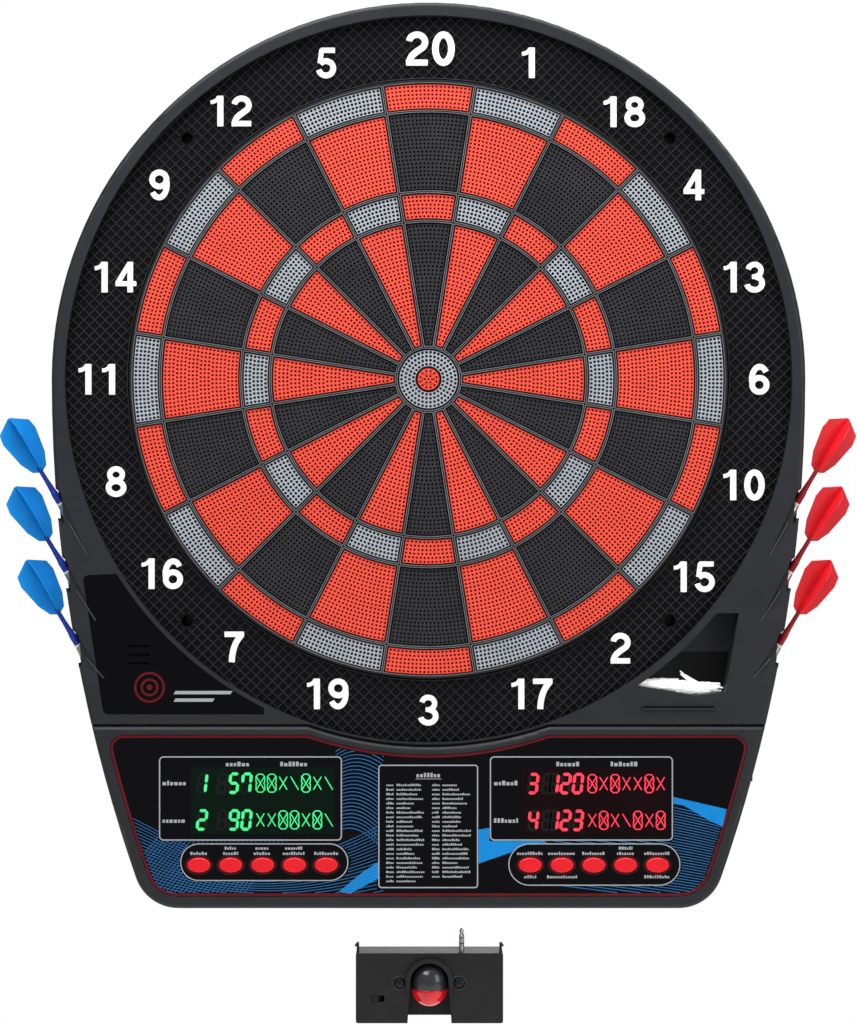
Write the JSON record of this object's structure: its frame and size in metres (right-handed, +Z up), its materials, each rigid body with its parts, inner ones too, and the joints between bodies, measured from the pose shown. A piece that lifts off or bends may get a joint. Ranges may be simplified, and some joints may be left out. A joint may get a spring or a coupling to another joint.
{
  "type": "electronic dartboard",
  "caption": "Wall-hung electronic dartboard with a round segmented target, catch ring, lower control console, side dart slots and a plug-in toe-line laser.",
  "frame": {"origin": "on the wall plane behind the bull, at the centre of the four wall-screw holes", "axes": "+Z up, +X to the player's right, the target faces -Y, the wall is the plane y = 0"},
  "size_m": [0.5752, 0.0452, 0.6832],
  "materials": {
    "housing_plastic": "fine spark-eroded texture",
    "cover_plastic": "fine texture",
    "ring_plastic": "satin",
    "spider_plastic": "satin, lighter worn crests",
    "segment_red": "satin",
    "segment_grey": "satin",
    "segment_black": "satin",
    "numeral_white": "printed",
    "mat_rubber": "matt",
    "membrane_film": "film",
    "backing_plastic": "plain",
    "panel_gloss": "gloss, printed from behind",
    "panel_trim_red": "printed",
    "panel_print_white": "printed",
    "panel_print_blue": "printed",
    "led_green": "lit",
    "led_red": "lit",
    "display_plastic": "gloss",
    "button_red": "satin",
    "switch_plastic": "plain",
    "circuit_board": "solder mask",
    "ribbon_plastic": "plain",
    "jack_plastic": "satin",
    "speaker_paint": "painted",
    "badge_gloss": "high gloss",
    "tip_white": "natural",
    "dart_blue": "translucent film flights",
    "dart_red": "translucent film flights",
    "barrel_steel": "turned",
    "screw_steel": "zinc",
    "laser_plastic": "fine texture",
    "laser_gloss": "polished",
    "laser_lens_red": "translucent red",
    "plug_metal": "nickel"
  },
  "bodies": {
    "board": {"upper_housing": "housing_plastic", "console_housing": "housing_plastic", "rear_cover": "cover_plastic", "housing_screws": "screw_steel", "catch_ring": "ring_plastic", "spider": "spider_plastic", "sensor_mat": "mat_rubber", "sensor_membrane": "membrane_film", "backing_board": "backing_plastic", "console_panel": "panel_gloss", "button_switches": "switch_plastic", "main_board": "circuit_board", "display_modules": "display_plastic", "ribbon_cables": "ribbon_plastic", "power_jack": "jack_plastic", "speaker": "speaker_paint", "badge_panel": "badge_gloss", "spare_tips": "tip_white"},
    "segments_20": {"segments_20": "segment_black"},
    "segments_1": {"segments_1": "segment_red"},
    "segments_18": {"segments_18": "segment_black"},
    "segments_4": {"segments_4": "segment_red"},
    "segments_13": {"segments_13": "segment_black"},
    "segments_6": {"segments_6": "segment_red"},
    "segments_10": {"segments_10": "segment_black"},
    "segments_15": {"segments_15": "segment_red"},
    "segments_2": {"segments_2": "segment_black"},
    "segments_17": {"segments_17": "segment_red"},
    "segments_3": {"segments_3": "segment_black"},
    "segments_19": {"segments_19": "segment_red"},
    "segments_7": {"segments_7": "segment_black"},
    "segments_16": {"segments_16": "segment_red"},
    "segments_8": {"segments_8": "segment_black"},
    "segments_11": {"segments_11": "segment_red"},
    "segments_14": {"segments_14": "segment_black"},
    "segments_9": {"segments_9": "segment_red"},
    "segments_12": {"segments_12": "segment_black"},
    "segments_5": {"segments_5": "segment_red"},
    "outer_bull": {"outer_bull_segment": "segment_grey"},
    "inner_bull": {"inner_bull_segment": "segment_red"},
    "button_1": {"button_1": "button_red"},
    "button_2": {"button_2": "button_red"},
    "button_3": {"button_3": "button_red"},
    "button_4": {"button_4": "button_red"},
    "button_5": {"button_5": "button_red"},
    "button_6": {"button_6": "button_red"},
    "button_7": {"button_7": "button_red"},
    "button_8": {"button_8": "button_red"},
    "button_9": {"button_9": "button_red"},
    "button_10": {"button_10": "button_red"},
    "dart_blue_1": {"dart_blue_1": "dart_blue"},
    "dart_blue_2": {"dart_blue_2": "dart_blue"},
    "dart_blue_3": {"dart_blue_3": "dart_blue"},
    "dart_red_1": {"dart_red_1": "dart_red"},
    "dart_red_2": {"dart_red_2": "dart_red"},
    "dart_red_3": {"dart_red_3": "dart_red"},
    "laser_module": {"laser_case": "laser_plastic", "laser_jack_plug": "plug_metal"},
    "laser_dome": {"laser_dome": "laser_gloss"},
    "laser_switch": {"laser_switch": "switch_plastic"}
  },
  "joints": [
    {"name": "laser_plug_in", "type": "slide", "parent": "board", "child": "laser_module", "axis": [0, 0, 1], "range_m": [0, 0.0313]},
    {"name": "laser_tilt", "type": "hinge", "parent": "laser_module", "child": "laser_dome", "pos_m": [0.00065, -0.024, -0.4039], "axis": [1, 0, 0], "range_deg": [-12, 12]},
    {"name": "laser_power", "type": "slide", "parent": "laser_module", "child": "laser_switch", "axis": [1, 0, 0], "range_m": [0, 0.004]},
    {"name": "pull_dart_blue_1", "type": "slide", "parent": "board", "child": "dart_blue_1", "axis": [-0.5225, 0, 0.8526], "range_m": [0, 0.075]},
    {"name": "pull_dart_blue_2", "type": "slide", "parent": "board", "child": "dart_blue_2", "axis": [-0.5225, 0, 0.8526], "range_m": [0, 0.075]},
    {"name": "pull_dart_blue_3", "type": "slide", "parent": "board", "child": "dart_blue_3", "axis": [-0.5225, 0, 0.8526], "range_m": [0, 0.075]},
    {"name": "pull_dart_red_1", "type": "slide", "parent": "board", "child": "dart_red_1", "axis": [0.5225, 0, 0.8526], "range_m": [0, 0.075]},
    {"name": "pull_dart_red_2", "type": "slide", "parent": "board", "child": "dart_red_2", "axis": [0.5225, 0, 0.8526], "range_m": [0, 0.075]},
    {"name": "pull_dart_red_3", "type": "slide", "parent": "board", "child": "dart_red_3", "axis": [0.5225, 0, 0.8526], "range_m": [0, 0.075]},
    {"name": "hit_outer_bull", "type": "slide", "parent": "board", "child": "outer_bull", "axis": [0, 1, 0], "range_m": [0, 0.0012], "stiffness_N_per_m": 1500},
    {"name": "hit_inner_bull", "type": "slide", "parent": "board", "child": "inner_bull", "axis": [0, 1, 0], "range_m": [0, 0.0012], "stiffness_N_per_m": 1500},
    {"name": "press_1", "type": "slide", "parent": "board", "child": "button_1", "axis": [0, 1, 0], "range_m": [0, 0.0012], "stiffness_N_per_m": 800},
    {"name": "press_2", "type": "slide", "parent": "board", "child": "button_2", "axis": [0, 1, 0], "range_m": [0, 0.0012], "stiffness_N_per_m": 800},
    {"name": "press_3", "type": "slide", "parent": "board", "child": "button_3", "axis": [0, 1, 0], "range_m": [0, 0.0012], "stiffness_N_per_m": 800},
    {"name": "press_4", "type": "slide", "parent": "board", "child": "button_4", "axis": [0, 1, 0], "range_m": [0, 0.0012], "stiffness_N_per_m": 800},
    {"name": "press_5", "type": "slide", "parent": "board", "child": "button_5", "axis": [0, 1, 0], "range_m": [0, 0.0012], "stiffness_N_per_m": 800},
    {"name": "press_6", "type": "slide", "parent": "board", "child": "button_6", "axis": [0, 1, 0], "range_m": [0, 0.0012], "stiffness_N_per_m": 800},
    {"name": "press_7", "type": "slide", "parent": "board", "child": "button_7", "axis": [0, 1, 0], "range_m": [0, 0.0012], "stiffness_N_per_m": 800},
    {"name": "press_8", "type": "slide", "parent": "board", "child": "button_8", "axis": [0, 1, 0], "range_m": [0, 0.0012], "stiffness_N_per_m": 800},
    {"name": "press_9", "type": "slide", "parent": "board", "child": "button_9", "axis": [0, 1, 0], "range_m": [0, 0.0012], "stiffness_N_per_m": 800},
    {"name": "press_10", "type": "slide", "parent": "board", "child": "button_10", "axis": [0, 1, 0], "range_m": [0, 0.0012], "stiffness_N_per_m": 800},
    {"name": "hit_20", "type": "slide", "parent": "board", "child": "segments_20", "axis": [0, 1, 0], "range_m": [0, 0.0012], "stiffness_N_per_m": 1500},
    {"name": "hit_1", "type": "slide", "parent": "board", "child": "segments_1", "axis": [0, 1, 0], "range_m": [0, 0.0012], "stiffness_N_per_m": 1500},
    {"name": "hit_18", "type": "slide", "parent": "board", "child": "segments_18", "axis": [0, 1, 0], "range_m": [0, 0.0012], "stiffness_N_per_m": 1500},
    {"name": "hit_4", "type": "slide", "parent": "board", "child": "segments_4", "axis": [0, 1, 0], "range_m": [0, 0.0012], "stiffness_N_per_m": 1500},
    {"name": "hit_13", "type": "slide", "parent": "board", "child": "segments_13", "axis": [0, 1, 0], "range_m": [0, 0.0012], "stiffness_N_per_m": 1500},
    {"name": "hit_6", "type": "slide", "parent": "board", "child": "segments_6", "axis": [0, 1, 0], "range_m": [0, 0.0012], "stiffness_N_per_m": 1500},
    {"name": "hit_10", "type": "slide", "parent": "board", "child": "segments_10", "axis": [0, 1, 0], "range_m": [0, 0.0012], "stiffness_N_per_m": 1500},
    {"name": "hit_15", "type": "slide", "parent": "board", "child": "segments_15", "axis": [0, 1, 0], "range_m": [0, 0.0012], "stiffness_N_per_m": 1500},
    {"name": "hit_2", "type": "slide", "parent": "board", "child": "segments_2", "axis": [0, 1, 0], "range_m": [0, 0.0012], "stiffness_N_per_m": 1500},
    {"name": "hit_17", "type": "slide", "parent": "board", "child": "segments_17", "axis": [0, 1, 0], "range_m": [0, 0.0012], "stiffness_N_per_m": 1500},
    {"name": "hit_3", "type": "slide", "parent": "board", "child": "segments_3", "axis": [0, 1, 0], "range_m": [0, 0.0012], "stiffness_N_per_m": 1500},
    {"name": "hit_19", "type": "slide", "parent": "board", "child": "segments_19", "axis": [0, 1, 0], "range_m": [0, 0.0012], "stiffness_N_per_m": 1500},
    {"name": "hit_7", "type": "slide", "parent": "board", "child": "segments_7", "axis": [0, 1, 0], "range_m": [0, 0.0012], "stiffness_N_per_m": 1500},
    {"name": "hit_16", "type": "slide", "parent": "board", "child": "segments_16", "axis": [0, 1, 0], "range_m": [0, 0.0012], "stiffness_N_per_m": 1500},
    {"name": "hit_8", "type": "slide", "parent": "board", "child": "segments_8", "axis": [0, 1, 0], "range_m": [0, 0.0012], "stiffness_N_per_m": 1500},
    {"name": "hit_11", "type": "slide", "parent": "board", "child": "segments_11", "axis": [0, 1, 0], "range_m": [0, 0.0012], "stiffness_N_per_m": 1500},
    {"name": "hit_14", "type": "slide", "parent": "board", "child": "segments_14", "axis": [0, 1, 0], "range_m": [0, 0.0012], "stiffness_N_per_m": 1500},
    {"name": "hit_9", "type": "slide", "parent": "board", "child": "segments_9", "axis": [0, 1, 0], "range_m": [0, 0.0012], "stiffness_N_per_m": 1500},
    {"name": "hit_12", "type": "slide", "parent": "board", "child": "segments_12", "axis": [0, 1, 0], "range_m": [0, 0.0012], "stiffness_N_per_m": 1500},
    {"name": "hit_5", "type": "slide", "parent": "board", "child": "segments_5", "axis": [0, 1, 0], "range_m": [0, 0.0012], "stiffness_N_per_m": 1500}
  ]
}
